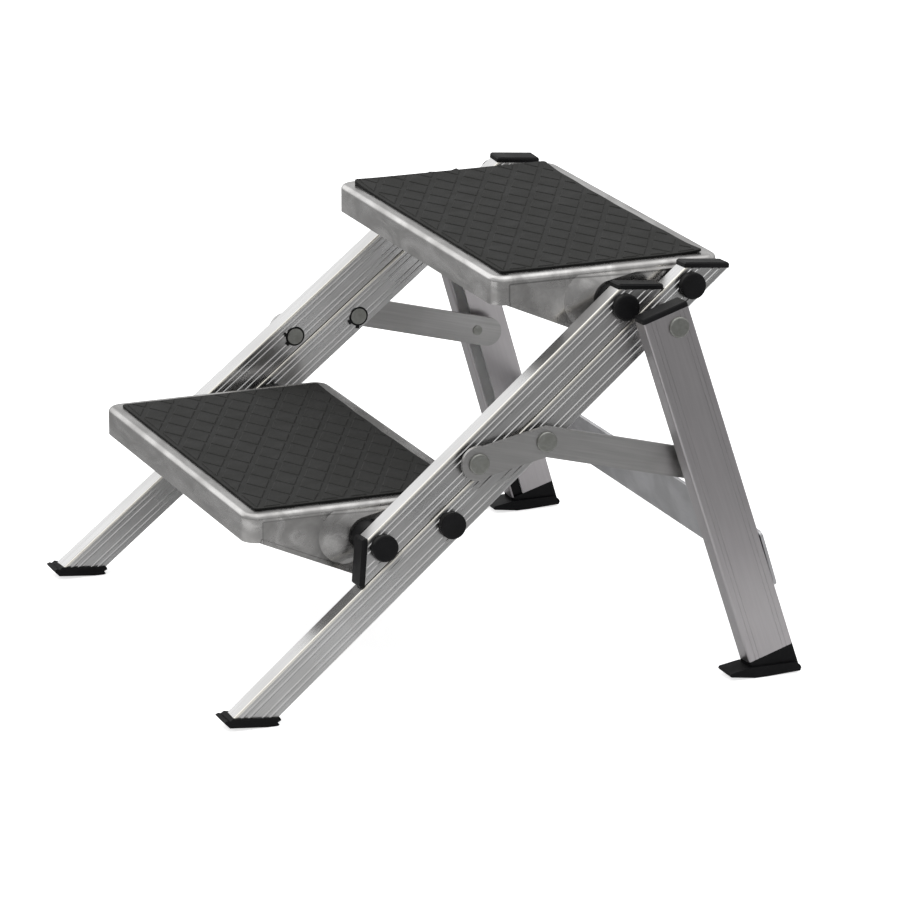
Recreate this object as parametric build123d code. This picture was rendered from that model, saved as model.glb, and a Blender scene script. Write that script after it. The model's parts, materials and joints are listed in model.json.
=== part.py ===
"""Two-step folding stool: ribbed rails, pressed treads, slotted rear legs and dog-leg links."""
import os
from math import cos, radians, sin, tan

from build123d import *

# Sizes are in millimetres, angles in degrees. Layout origin: lower front pivot line, on the floor.

# Side frames: both rails of a side lie in one plane that leans in towards the top
side_lean = 3.0
rail_stand_off = 44.0
rail_angle = 39.4
rail_depth = 31.5
rail_thickness = 21.5
rail_wall = 1.8
rail_corner = 1.6
rail_gap = 0.6
rail_overrun = 22.0
rib_height = 0.6
rib_foot = 2.4
rib_crest = 1.0
rib_inner_offset = 4.8
rib_outer_offset = 9.8
end_cut = 45.0

# Pivots in the side frame
lower_pivot_height = 155.4
pivot_span = 316.0
pivot_stagger = 60.7
link_pin_rise = 116.3
link_pin_drop = 4.0
leg_pivot_drop = 41.0

# Running and seating clearances
running_fit = 0.05
seat_fit = 0.03
face_gap = 0.3
plug_fit = 0.15

# Rail end caps
cap_lip = 0.5
cap_thickness = 5.0
cap_corner = 2.0
cap_chamfer = 1.5
plug_depth = 12.0

# Front feet
foot_thickness = 8.7
foot_side_lip = 2.0
foot_toe_reach = 10.0
foot_sole_front = 4.2
foot_ridge_reach = 1.6
foot_ridge_height = 0.4
foot_notch_reach = 4.4
foot_notch_drop = 1.9
foot_crest_reach = 7.0
foot_crest_drop = 1.3
foot_heel_setback = 3.5
foot_bead = 0.6
foot_groove = 2.6
foot_bead_upper = 2.3
foot_groove_level = 4.5
foot_bead_lower = 6.7
heel_land = 0.8

# Tread pans and mats
tread_width = 400.0
tread_depth = 230.0
tread_nose = 115.5
tread_rise = 29.4
tread_corner = 16.0
tread_edge = 5.0
tread_sheet = 2.0
tread_face = 27.0
skirt_slope = 23.8
skirt_drop = 42.0
skirt_bottom = 34.0
skirt_round = 18.0
hem_height = 4.0
hem_thickness = 1.2
hem_start = 13.0
emboss_height = 6.0
emboss_foot = 27.5
emboss_flat = 18.0
emboss_lead = 17.5
emboss_ledge = 5.0
emboss_ledge_fall = 1.0
mat_thickness = 3.0
mat_corner = 5.0
mat_inset = 13.1

# Tread pivots
bolt_radius = 4.0
bolt_head_radius = 7.2
bolt_head_height = 4.0
bolt_tail = 0.5
nut_radius = 7.0
nut_height = 4.5
pivot_cap_radius = 12.6
pivot_cap_height = 8.4
pivot_cap_edge = 2.2
pivot_cap_roof = 1.5
pivot_cap_cavity = 8.6
front_spacer_radius = 15.5
rear_spacer_radius = 11.0

# Link bars
link_width = 29.0
link_eye_radius = 16.5
link_thickness = 4.0
link_clearance = 0.8
link_tail = 144.0
link_tail_angle = 14.5
link_tail_over = 12.0
link_pin_radius = 8.0
link_neck_radius = 5.0
link_head_radius = 10.0
link_head_height = 2.6
link_head_round = 1.6
bush_radius = 9.8
bush_collar_radius = 12.0
bush_tab_reach = 2.4
bush_tab_width = 3.6
bush_tab_height = 0.8
bush_tab_angle = 56.0
bush_front_turn = 165.0
bush_rear_turn = 207.0
slider_radius = 3.0
slider_head_radius = 5.0
slider_head_height = 0.8
slider_run = 302.0
slider_grip = 2.5

# Rear legs
leg_gap = 20.6
leg_tilt = 17.2
leg_width = 47.5
leg_thickness = 22.0
leg_wall = 2.0
leg_corner = 2.5
leg_setback = 32.2
leg_top = 14.6
leg_end_height = 21.2
leg_slot_start = 2.4
leg_slot_width = 10.6
leg_groove = 0.4
leg_groove_width = 0.8
leg_groove_first = 7.0
leg_groove_second = 11.0
leg_cap_thickness = 5.0
leg_cap_edge = 2.0
leg_plug = 9.0
leg_rivet_radius = 5.0
leg_rivet_head = 10.0
leg_rivet_height = 3.0
leg_rivet_round = 1.8
leg_rivet_tail = 8.0
leg_rivet_tail_height = 1.5
leg_spacer_radius = 10.0

# Rear feet
rear_foot_plug = 20.0
rear_foot_side = 2.6
rear_foot_toe = 19.6
rear_foot_heel = 53.0
rear_foot_rise = 3.6
rear_foot_rim = 7.2
rear_foot_bead = 1.2
rear_foot_contact = 31.0
rear_foot_land = 6.0
rear_foot_heel_rise = 1.5
rear_foot_instep = 10.5

# Rear brace
brace_start = 219.0
brace_height = 57.0
brace_thickness = 3.0
brace_corner = 5.0
brace_inset = 1.5
brace_rivet_radius = 2.4
brace_rivet_head = 5.0
brace_rivet_height = 1.6
brace_rivet_pitch = 34.0

rail_mid_at_floor = tread_width / 2 + rail_stand_off
lean_sin = sin(radians(side_lean))
lean_cos = cos(radians(side_lean))
lean_tan = tan(radians(side_lean))
half_rail = rail_thickness / 2
end_tilt = end_cut - rail_angle
cut_half = rail_depth / 2 / sin(radians(end_cut))


def step(point, angle, distance):
    return (point[0] + distance * cos(radians(angle)), point[1] + distance * sin(radians(angle)))


def world(point):
    return (point[0], point[1] * lean_cos)


def plane_height(z, offset):
    return (z - offset * lean_sin) / lean_cos


def side_x(z, offset):
    return rail_mid_at_floor - z * lean_tan + offset / lean_cos


# Pivot points within the side frame, then their axes as (y, z) in the part's own frame
plane_lf = (0.0, lower_pivot_height / lean_cos)
plane_uf = step(plane_lf, rail_angle, pivot_span)
plane_lr = step(step(plane_lf, rail_angle, pivot_stagger), rail_angle - 90, rail_depth + rail_gap)
plane_ur = step(plane_lr, rail_angle, pivot_span)
plane_kf = step(step(plane_lf, rail_angle, link_pin_rise), rail_angle - 90, link_pin_drop)
plane_kr = step(step(plane_lr, rail_angle, link_pin_rise), rail_angle - 90, link_pin_drop)
plane_leg = step(plane_ur, rail_angle, -leg_pivot_drop)
lower_front, upper_front = world(plane_lf), world(plane_uf)
lower_rear, upper_rear = world(plane_lr), world(plane_ur)
link_front, link_rear, leg_pivot = world(plane_kf), world(plane_kr), world(plane_leg)
link_end = step(link_rear, -link_tail_angle, link_tail)
link_tip = step(link_end, -link_tail_angle, link_tail_over)


def on_side(shape):
    return Pos(rail_mid_at_floor, 0, 0) * Rot(0, -side_lean, 0) * shape


def lean_plane(offset):
    origin = (rail_mid_at_floor + offset * lean_cos, 0, offset * lean_sin)
    return Plane(origin=origin, x_dir=(0, 1, 0), z_dir=(lean_cos, 0, lean_sin))


def outward_of(shape, offset):
    return split(shape, bisect_by=lean_plane(offset), keep=Keep.TOP)


def inward_of(shape, offset):
    return split(shape, bisect_by=lean_plane(offset), keep=Keep.BOTTOM)


def x_rod(radius, x_start, x_end, point):
    middle = Pos((x_start + x_end) / 2, point[0], point[1])
    return middle * Rot(0, 90, 0) * Cylinder(radius, x_end - x_start)


def x_slab(points, x_start, x_end):
    face = Plane.YZ * make_face(Polyline(*points, close=True))
    return Pos(x_start, 0, 0) * extrude(face, amount=x_end - x_start)


def mirrored(shape):
    return mirror(shape, about=Plane.YZ)


def pair(shape):
    return [shape, mirrored(shape)]


# Rails
def rail_bore(fit=0.0):
    inset = 2 * (rib_height + rail_wall + fit)
    return RectangleRounded(rail_thickness - inset, rail_depth - 2 * (rail_wall + fit), rail_corner / 2)


def rail_rib(side, level):
    root, face, crest = (side * (half_rail - depth * rib_height) for depth in (2, 1, 0))
    half_foot, half_crest = rib_foot / 2, rib_crest / 2
    return make_face(
        Polyline(
            (root, level - half_foot),
            (face, level - half_foot),
            (crest, level - half_crest),
            (crest, level + half_crest),
            (face, level + half_foot),
            (root, level + half_foot),
            close=True,
        )
    )


def rail_section():
    section = RectangleRounded(rail_thickness - 2 * rib_height, rail_depth, rail_corner)
    for side in (-1, 1):
        for level in (-rib_outer_offset, -rib_inner_offset, rib_inner_offset, rib_outer_offset):
            section += rail_rib(side, level)
    return section - rail_bore()


def rail_run(section, start, length):
    run_plane = Plane(
        origin=(0, *start), x_dir=(1, 0, 0), z_dir=(0, cos(radians(rail_angle)), sin(radians(rail_angle)))
    )
    return extrude(run_plane * section, amount=length)


def cut_plane(point, angle):
    return Plane(origin=(0, *point), x_dir=(1, 0, 0), z_dir=(0, cos(radians(angle)), sin(radians(angle))))


def top_cut(upper_pivot):
    return cut_plane(step(upper_pivot, rail_angle, rail_overrun), rail_angle + end_cut)


def bottom_cut(lower_pivot):
    return cut_plane(step(lower_pivot, rail_angle, -rail_overrun), rail_angle + 180 - end_cut)


# The foot's top plane is level across the stool and falls to the rear, like the rail's cut end
heel_along = cut_half - foot_heel_setback
foot_mid_height = (
    foot_thickness * cos(radians(end_tilt)) + heel_along * sin(radians(end_tilt)) - heel_land
)
foot_mid = (
    lower_rear[0] + (foot_mid_height / lean_cos - plane_lr[1]) / tan(radians(rail_angle)),
    foot_mid_height,
)
foot_plane = Plane(
    origin=(0, *foot_mid), x_dir=(1, 0, 0), z_dir=(0, sin(radians(end_tilt)), cos(radians(end_tilt)))
)


def bored(rail, bolt_points, bush_point):
    for point in bolt_points:
        rail -= x_rod(bolt_radius + running_fit, 0, 2 * rail_mid_at_floor, point)
    return rail - x_rod(bush_radius + seat_fit, 0, 2 * rail_mid_at_floor, bush_point)


def rear_rail():
    drop = 2 * rail_depth + plane_lr[1] / sin(radians(rail_angle))
    blank = rail_run(rail_section(), step(plane_lr, rail_angle, -drop), drop + pivot_span + 3 * rail_overrun)
    blank = split(blank, bisect_by=top_cut(plane_ur), keep=Keep.BOTTOM)
    rail = split(on_side(blank), bisect_by=foot_plane, keep=Keep.TOP)
    rail = bored(rail, (lower_rear, upper_rear), link_rear)
    return rail - x_rod(leg_rivet_radius + running_fit, 0, 2 * rail_mid_at_floor, leg_pivot)


def front_rail():
    spare = 3 * rail_overrun
    blank = rail_run(rail_section(), step(plane_lf, rail_angle, -spare), pivot_span + 2 * spare)
    blank = split(blank, bisect_by=top_cut(plane_uf), keep=Keep.BOTTOM)
    blank = split(blank, bisect_by=bottom_cut(plane_lf), keep=Keep.BOTTOM)
    return bored(on_side(blank), (lower_front, upper_front), link_front)


def rail_cap(plane, inward_angle):
    outline = RectangleRounded(rail_thickness + cap_lip, 2 * (cut_half + cap_lip), cap_corner)
    plate = extrude(plane * Pos(cap_lip / 2, 0) * outline, amount=cap_thickness)
    rim = plate.faces().sort_by(Axis(plane.origin, plane.z_dir))[-1].edges()
    plate = chamfer(rim, cap_chamfer)
    mouth = (plane.origin.Y, plane.origin.Z)
    spare = 2 * rail_depth
    if inward_angle == rail_angle:
        plug = rail_run(rail_bore(plug_fit), step(mouth, rail_angle, -spare), spare + plug_depth)
    else:
        plug = rail_run(rail_bore(plug_fit), step(mouth, rail_angle, -plug_depth), spare + plug_depth)
    plug = split(plug, bisect_by=plane, keep=Keep.BOTTOM)
    return on_side(plate + plug)


def front_foot():
    front = -cut_half - face_gap
    profile = (
        (front, 0.0),
        (front - foot_ridge_reach, foot_ridge_height),
        (front - foot_notch_reach, -foot_notch_drop),
        (front - foot_crest_reach, -foot_crest_drop),
        (front - foot_toe_reach, -foot_bead_upper - heel_land),
        (front - foot_sole_front, -foot_thickness),
        (heel_along, -foot_thickness),
        (heel_along + foot_heel_setback - foot_bead, -foot_bead_lower),
        (heel_along + foot_heel_setback - foot_groove, -foot_groove_level),
        (heel_along + foot_heel_setback + foot_bead, -foot_bead_upper),
        (heel_along + foot_heel_setback - foot_bead, 0.0),
    )
    along = (cos(radians(end_tilt)), -sin(radians(end_tilt)))
    up = (sin(radians(end_tilt)), cos(radians(end_tilt)))
    points = [
        (foot_mid[0] + a * along[0] + b * up[0], foot_mid[1] + a * along[1] + b * up[1]) for a, b in profile
    ]
    middle = side_x(foot_mid_height / 2, 0)
    half = half_rail + foot_side_lip
    shoe = x_slab(points, middle - half, middle + half)
    shoe = split(shoe, bisect_by=Plane.XY, keep=Keep.TOP)
    plug_start = step((foot_mid[0], foot_mid[1] / lean_cos), rail_angle, -2 * rail_depth)
    plug = on_side(rail_run(rail_bore(plug_fit), plug_start, 2 * rail_depth + plug_depth))
    plug = split(plug, bisect_by=foot_plane, keep=Keep.TOP)
    return shoe + plug


# Tread pivots
def pivot_cap(point):
    height = plane_height(point[1], half_rail)
    cap = Cylinder(pivot_cap_radius, pivot_cap_height, align=(Align.CENTER, Align.CENTER, Align.MIN))
    cap = fillet(cap.edges().sort_by(Axis.Z)[-1], pivot_cap_edge)
    cavity_depth = pivot_cap_height - pivot_cap_roof
    cap -= Cylinder(pivot_cap_cavity, cavity_depth, align=(Align.CENTER, Align.CENTER, Align.MIN))
    return on_side(Pos(half_rail, point[0], height) * Rot(0, 90, 0) * cap)


emboss_x = tread_width / 2 + emboss_height


def pivot_spacer(point, radius):
    tube = x_rod(radius, emboss_x + face_gap, rail_mid_at_floor, point)
    return inward_of(tube, -half_rail) - x_rod(bolt_radius + running_fit, 0, 2 * rail_mid_at_floor, point)


def nut_start(point):
    return side_x(point[1], half_rail) + nut_radius * lean_tan + face_gap


def tread_bolt(point):
    seat = emboss_x - tread_sheet
    end = nut_start(point) + nut_height + bolt_tail
    head = x_rod(bolt_head_radius, seat - bolt_head_height, seat, point)
    head = fillet(head.edges().sort_by(Axis.X)[0], bolt_head_height / 2)
    return head + x_rod(bolt_radius, seat - bolt_head_height / 2, end, point)


def tread_nut(point):
    hexagon = RegularPolygon(nut_radius, 6) - Circle(bolt_radius + seat_fit)
    face = Plane.YZ * Pos(point[0], point[1]) * hexagon
    return Pos(nut_start(point), 0, 0) * extrude(face, amount=nut_height)


# Treads
def tread_profile():
    top = tread_rise
    brim = top - tread_face
    slope_start = -tread_nose + hem_start
    slope_length = (brim + skirt_drop) / sin(radians(skirt_slope))
    slope_end = step((slope_start, brim), -skirt_slope, slope_length)
    rear_end = tread_depth - tread_nose
    return (
        (-tread_nose, top + tread_edge),
        (-tread_nose, brim),
        (slope_start, brim),
        slope_end,
        (slope_end[0] + skirt_bottom, -skirt_drop),
        (rear_end - hem_start, brim),
        (rear_end, brim),
        (rear_end, top + tread_edge),
    )


def bar_between(start, end, width):
    run = Vector(end[0] - start[0], end[1] - start[1])
    middle = Pos((start[0] + end[0]) / 2, (start[1] + end[1]) / 2)
    turn = Rot(0, 0, Vector(1, 0).get_signed_angle(run, Vector(0, 0, 1)))
    return middle * turn * SlotCenterToCenter(run.length, width)


def tread_emboss(front_pivot, rear_pivot, inset):
    base_x = tread_width / 2 - inset
    foot_front = (front_pivot[0] - emboss_lead, front_pivot[1])
    sections = [
        Plane.YZ.offset(base_x) * bar_between(foot_front, rear_pivot, 2 * emboss_foot),
        Plane.YZ.offset(base_x + emboss_height) * bar_between(front_pivot, rear_pivot, 2 * emboss_flat),
    ]
    ledge = Plane(
        origin=(base_x, 0, front_pivot[1] + tread_rise - emboss_ledge - inset),
        x_dir=(0, 1, 0),
        z_dir=(emboss_ledge_fall, 0, emboss_height),
    )
    return split(loft([section.face() for section in sections]), bisect_by=ledge, keep=Keep.BOTTOM)


def tread_pan(front_pivot, rear_pivot):
    top = front_pivot[1] + tread_rise
    middle_y = front_pivot[0] - tread_nose + tread_depth / 2
    depth = tread_rise + skirt_drop
    centre = Pos(0, middle_y, top)
    shell = extrude(RectangleRounded(tread_width, tread_depth, tread_corner), amount=-depth)
    shell = fillet(shell.faces().sort_by(Axis.Z)[-1].edges(), tread_edge)
    inner = RectangleRounded(
        tread_width - 2 * tread_sheet, tread_depth - 2 * tread_sheet, tread_corner - tread_sheet
    )
    shell -= Pos(0, 0, -tread_sheet) * extrude(inner, amount=-depth)
    outline = make_face(Polyline(*tread_profile(), close=True))
    low_corners = outline.vertices().sort_by(Axis.Y)[:2]
    outline = fillet(low_corners, skirt_round)
    trim = extrude(Plane.YZ * outline, amount=tread_width, both=True)
    pan = (centre * shell) & (Pos(0, *front_pivot) * trim)
    bolt_holes = [
        x_rod(bolt_radius + seat_fit, -tread_width, tread_width, point) for point in (front_pivot, rear_pivot)
    ]
    boss = tread_emboss(front_pivot, rear_pivot, 0.0)
    dish = tread_emboss(front_pivot, rear_pivot, tread_sheet)
    slope_start, slope_end = tread_profile()[2:4]
    hem_end = step(slope_end, 180 - skirt_slope, skirt_round / 2)
    hem = [
        slope_start,
        hem_end,
        step(hem_end, 90 - skirt_slope, hem_height),
        step(slope_start, 90 - skirt_slope, hem_height),
    ]
    hem = [(front_pivot[0] + y, front_pivot[1] + z) for y, z in hem]
    strip = x_slab(hem, tread_width / 2 - tread_sheet, tread_width / 2 + hem_thickness)
    pan = pan + pair(boss) + pair(strip)
    pan = pan - pair(dish) - bolt_holes
    return pan


def tread_mat(front_pivot):
    floor = front_pivot[1] + tread_rise
    middle_y = front_pivot[0] - tread_nose + tread_depth / 2
    outline = RectangleRounded(tread_width - 2 * mat_inset, tread_depth - 2 * mat_inset, mat_corner)
    return Pos(0, middle_y, floor) * extrude(outline, amount=mat_thickness)


# Links: a flat bar pinned to both rails, with a tail that ends in the rear leg's slot
fold_low = link_rear[1] - (link_tail + link_tail_over + link_width / 2) * sin(radians(rail_angle))
link_x = side_x(fold_low, half_rail) + link_clearance
link_outer = link_x + link_thickness


def link_bar():
    outline = bar_between(link_front, link_rear, link_width) + bar_between(link_rear, link_tip, link_width)
    outline += Pos(*link_front) * Circle(link_eye_radius)
    bar = Pos(link_x, 0, 0) * extrude(Plane.YZ * outline, amount=link_thickness)
    for point in (link_front, link_rear):
        bar -= x_rod(link_neck_radius + seat_fit, 0, 2 * rail_mid_at_floor, point)
    return bar - x_rod(slider_radius + seat_fit, 0, 2 * rail_mid_at_floor, link_end)


def link_pin(point):
    start = side_x(point[1], -half_rail) - face_gap
    seat = link_outer + seat_fit
    head = x_rod(link_head_radius, seat, seat + link_head_height, point)
    head = fillet(head.edges().sort_by(Axis.X)[-1], link_head_round)
    shank = x_rod(link_pin_radius, start, link_x - seat_fit, point)
    return shank + x_rod(link_neck_radius, start, seat, point) + head


def rail_bush(point, first_tab):
    reach = link_x - face_gap
    sleeve = x_rod(bush_radius, 0, reach, point) - x_rod(link_pin_radius + running_fit, 0, reach, point)
    pin_bore = x_rod(link_pin_radius + running_fit, 0, reach, point)
    collar = x_rod(bush_collar_radius, 0, reach, point) - pin_bore
    bush = outward_of(sleeve, -half_rail) + outward_of(collar, half_rail)
    height = plane_height(point[1], -half_rail)
    for turn in (first_tab, first_tab + bush_tab_angle):
        reach_mid = (link_pin_radius + running_fit + bush_radius + bush_tab_reach) / 2
        spot = step((point[0], height), turn, reach_mid)
        length = bush_radius + bush_tab_reach - link_pin_radius - running_fit
        tab = Rot(turn, 0, 0) * Box(bush_tab_height, length, bush_tab_width)
        bush += on_side(Pos(-half_rail - bush_tab_height / 2, *spot) * tab)
    return bush - x_rod(link_pin_radius + running_fit, 0, reach, point)


# Rear legs
leg_mid = half_rail + leg_gap + leg_thickness / 2
leg_inner = half_rail + leg_gap
leg_outer = leg_inner + leg_thickness
leg_origin = (leg_pivot[0], plane_height(leg_pivot[1], leg_mid))
leg_bottom = (leg_origin[1] - leg_end_height) / cos(radians(leg_tilt))
leg_down = (0, sin(radians(leg_tilt)), -cos(radians(leg_tilt)))
leg_plane = Plane(origin=(leg_mid, *leg_origin), x_dir=(1, 0, 0), z_dir=leg_down)
leg_centre = leg_setback - leg_width / 2


def leg_outline(inset=0.0):
    corner = max(leg_corner - inset, leg_corner / 4)
    return Pos(0, leg_centre) * RectangleRounded(leg_thickness - 2 * inset, leg_width - 2 * inset, corner)


def rear_leg():
    section = leg_outline() - leg_outline(leg_wall)
    slot_mid = leg_setback - leg_slot_start - leg_slot_width / 2
    section -= Pos(-leg_thickness / 2 + leg_wall / 2, slot_mid) * Rectangle(2 * leg_wall, leg_slot_width)
    for offset in (leg_groove_first, leg_groove_second):
        for level in (leg_setback - offset, leg_setback - leg_width + offset):
            section -= Pos(leg_thickness / 2, level) * Rectangle(2 * leg_groove, leg_groove_width)
    leg = on_side(extrude(leg_plane.offset(-leg_top) * section, amount=leg_top + leg_bottom))
    leg -= x_rod(leg_rivet_radius + seat_fit, 0, 2 * rail_mid_at_floor, leg_pivot)
    for point in brace_rivet_points():
        leg -= brace_hole(point)
    return leg


def leg_top_cap():
    plate = extrude(leg_plane.offset(-leg_top) * leg_outline(), amount=-leg_cap_thickness)
    crown = plate.faces().sort_by(Axis(leg_plane.origin, leg_plane.z_dir))[0].edges()
    plate = fillet(crown, leg_cap_edge)
    plug = extrude(leg_plane.offset(-leg_top) * leg_outline(leg_wall + plug_fit), amount=leg_plug)
    return on_side(plate + plug)


def leg_rivet():
    tail_x = side_x(leg_pivot[1], -half_rail) - leg_rivet_tail * lean_tan - face_gap
    shank = x_rod(leg_rivet_radius, tail_x, side_x(leg_pivot[1], leg_outer), leg_pivot)
    tail = x_rod(leg_rivet_tail, tail_x - leg_rivet_tail_height, tail_x, leg_pivot)
    head = Cylinder(leg_rivet_head, leg_rivet_height, align=(Align.CENTER, Align.CENTER, Align.MIN))
    head = fillet(head.edges().sort_by(Axis.Z)[-1], leg_rivet_round)
    spot = Pos(leg_outer, leg_pivot[0], plane_height(leg_pivot[1], leg_outer))
    shank = inward_of(shank + x_rod(leg_rivet_radius, tail_x, 2 * rail_mid_at_floor, leg_pivot), leg_outer)
    return shank + tail + on_side(spot * Rot(0, 90, 0) * head)


def leg_spacer():
    end = side_x(leg_pivot[1], leg_inner) - leg_spacer_radius * lean_tan - face_gap
    sleeve = x_rod(leg_spacer_radius, 0, end, leg_pivot)
    sleeve -= x_rod(leg_rivet_radius + running_fit, 0, end, leg_pivot)
    return outward_of(sleeve, half_rail)


slider_low = leg_pivot[1] - slider_run * cos(radians(leg_tilt))
slider_tip = side_x(slider_low, leg_inner) + leg_wall + slider_grip


def slider_pin():
    head = x_rod(slider_head_radius, link_x - slider_head_height, link_x, link_end)
    return head + x_rod(slider_radius, link_x - slider_head_height, slider_tip, link_end)


# Rear feet: a plug in the leg, a wedge below its square end and a rimmed sole with a slight rocker
def rear_foot():
    end_plane = leg_plane.offset(leg_bottom)
    plug = extrude(end_plane * leg_outline(leg_wall + plug_fit), amount=-rear_foot_plug)
    wedge = on_side(extrude(end_plane * leg_outline(), amount=leg_width))
    wedge = split(wedge, bisect_by=Plane.XY.offset(rear_foot_rim), keep=Keep.TOP)
    corner = leg_front_corner()
    toe = corner - rear_foot_toe
    heel = corner + rear_foot_heel
    contact = toe + rear_foot_contact
    points = (
        (toe, rear_foot_rise),
        (toe - rear_foot_bead, (rear_foot_rise + rear_foot_rim) / 2),
        (toe, rear_foot_rim),
        (corner, rear_foot_instep),
        (heel - rear_foot_rim, rear_foot_instep),
        (heel - rear_foot_bead, rear_foot_rim),
        (heel, (rear_foot_heel_rise + rear_foot_rim) / 2),
        (heel - rear_foot_bead, rear_foot_heel_rise),
        (contact + rear_foot_land, 0.0),
        (contact - rear_foot_land, 0.0),
    )
    middle = side_x(rear_foot_rim / 2, leg_mid)
    half = leg_thickness / 2 + rear_foot_side
    return on_side(plug) + wedge + x_slab(points, middle - half, middle + half)


def leg_front_corner():
    bottom = step(leg_origin, leg_tilt - 90, leg_bottom)
    return step(bottom, leg_tilt + 180, leg_setback)[0]


# Rear brace: a flat plate riveted across the backs of the legs
back_offset = leg_width - leg_setback
brace_base = step(step(leg_pivot, leg_tilt - 90, brace_start), leg_tilt, back_offset + 2 * face_gap)
brace_plane = Plane(
    origin=(0, *brace_base),
    x_dir=(1, 0, 0),
    z_dir=(0, cos(radians(leg_tilt)), sin(radians(leg_tilt))),
)


def brace_half_width():
    low = step(brace_base, leg_tilt - 90, brace_height / 2)
    return side_x(low[1], leg_outer) - brace_inset


def brace_rivet_points():
    inset = leg_thickness / 2 - brace_inset
    return [
        (brace_half_width() - inset, brace_height / 2 + side * brace_rivet_pitch / 2) for side in (-1, 1)
    ]


def brace_hole(point):
    spot = brace_plane * Pos(point[0], point[1], 0)
    return spot * Cylinder(brace_rivet_radius + seat_fit, 4 * leg_wall)


def rear_brace():
    outline = RectangleRounded(2 * brace_half_width(), brace_height, brace_corner)
    plate = extrude(brace_plane * Pos(0, brace_height / 2) * outline, amount=brace_thickness)
    for point in brace_rivet_points():
        plate -= pair(brace_hole(point))
    return plate


def brace_rivet(point):
    length = brace_thickness + 2 * face_gap + leg_wall
    shank = Cylinder(brace_rivet_radius, length, align=(Align.CENTER, Align.CENTER, Align.MAX))
    head = Cylinder(brace_rivet_head, brace_rivet_height, align=(Align.CENTER, Align.CENTER, Align.MIN))
    head = fillet(head.edges().sort_by(Axis.Z)[-1], brace_rivet_height / 2)
    return brace_plane * Pos(point[0], point[1], brace_thickness) * (shank + head)


def group(shapes):
    solids = [solid for shape in shapes for solid in pair(shape)]
    return Compound(children=solids)


def build_nodes():
    nodes = {}
    sided = {
        "rear_rail": rear_rail(),
        "front_rail": front_rail(),
        "front_foot": front_foot(),
        "rear_rail_cap": rail_cap(top_cut(plane_ur), rail_angle + 180),
        "front_rail_top_cap": rail_cap(top_cut(plane_uf), rail_angle + 180),
        "front_rail_lower_cap": rail_cap(bottom_cut(plane_lf), rail_angle),
        "link_bar": link_bar(),
        "link_front_pin": link_pin(link_front),
        "link_rear_pin": link_pin(link_rear),
        "rear_leg": rear_leg(),
        "leg_top_cap": leg_top_cap(),
        "rear_foot": rear_foot(),
    }
    for name, shape in sided.items():
        nodes[name + "_right"] = shape
        nodes[name + "_left"] = mirrored(shape)
    nodes["rear_pivot_caps"] = group([pivot_cap(lower_rear), pivot_cap(upper_rear)])
    nodes["front_pivot_caps"] = group([pivot_cap(lower_front), pivot_cap(upper_front)])
    rear_pivots, front_pivots = (lower_rear, upper_rear), (lower_front, upper_front)
    nodes["rear_pivot_spacers"] = group([pivot_spacer(point, rear_spacer_radius) for point in rear_pivots])
    nodes["front_pivot_spacers"] = group([pivot_spacer(point, front_spacer_radius) for point in front_pivots])
    nodes["rear_rail_bushes"] = group([rail_bush(link_rear, bush_rear_turn)])
    nodes["front_rail_bushes"] = group([rail_bush(link_front, bush_front_turn)])
    nodes["leg_pivot_spacers"] = group([leg_spacer()])
    for name, front, rear in (
        ("upper", upper_front, upper_rear),
        ("lower", lower_front, lower_rear),
    ):
        nodes[name + "_tread"] = tread_pan(front, rear)
        nodes[name + "_mat"] = tread_mat(front)
        nodes[name + "_tread_bolts"] = group([tread_bolt(front), tread_bolt(rear)])
        nodes[name + "_tread_nuts"] = group([tread_nut(front), tread_nut(rear)])
    nodes["slider_pins"] = group([slider_pin()])
    nodes["leg_pivot_rivets"] = group([leg_rivet()])
    nodes["rear_brace"] = rear_brace()
    nodes["brace_rivets"] = group([brace_rivet(point) for point in brace_rivet_points()])
    return nodes


# The part's origin is on the floor, midway between the front toes and the rear heels
toe_end = foot_mid[0] - (cut_half + foot_toe_reach) * cos(radians(end_tilt))
heel_end = leg_front_corner() + rear_foot_heel
shift = Pos(0, -(toe_end + heel_end) / 2, 0)

os.makedirs("parts", exist_ok=True)
for node_name, node_shape in build_nodes().items():
    export_step(shift * node_shape, os.path.join("parts", node_name + ".step"))

for label, axis_point in (
    ("upper_rear", upper_rear),
    ("upper_front", upper_front),
    ("lower_rear", lower_rear),
    ("lower_front", lower_front),
    ("link_rear", link_rear),
    ("link_front", link_front),
    ("leg_pivot", leg_pivot),
    ("link_end", link_end),
):
    print(label, round(axis_point[0] + shift.position.Y, 4), round(axis_point[1], 4))
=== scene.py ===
import json
import math

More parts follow.
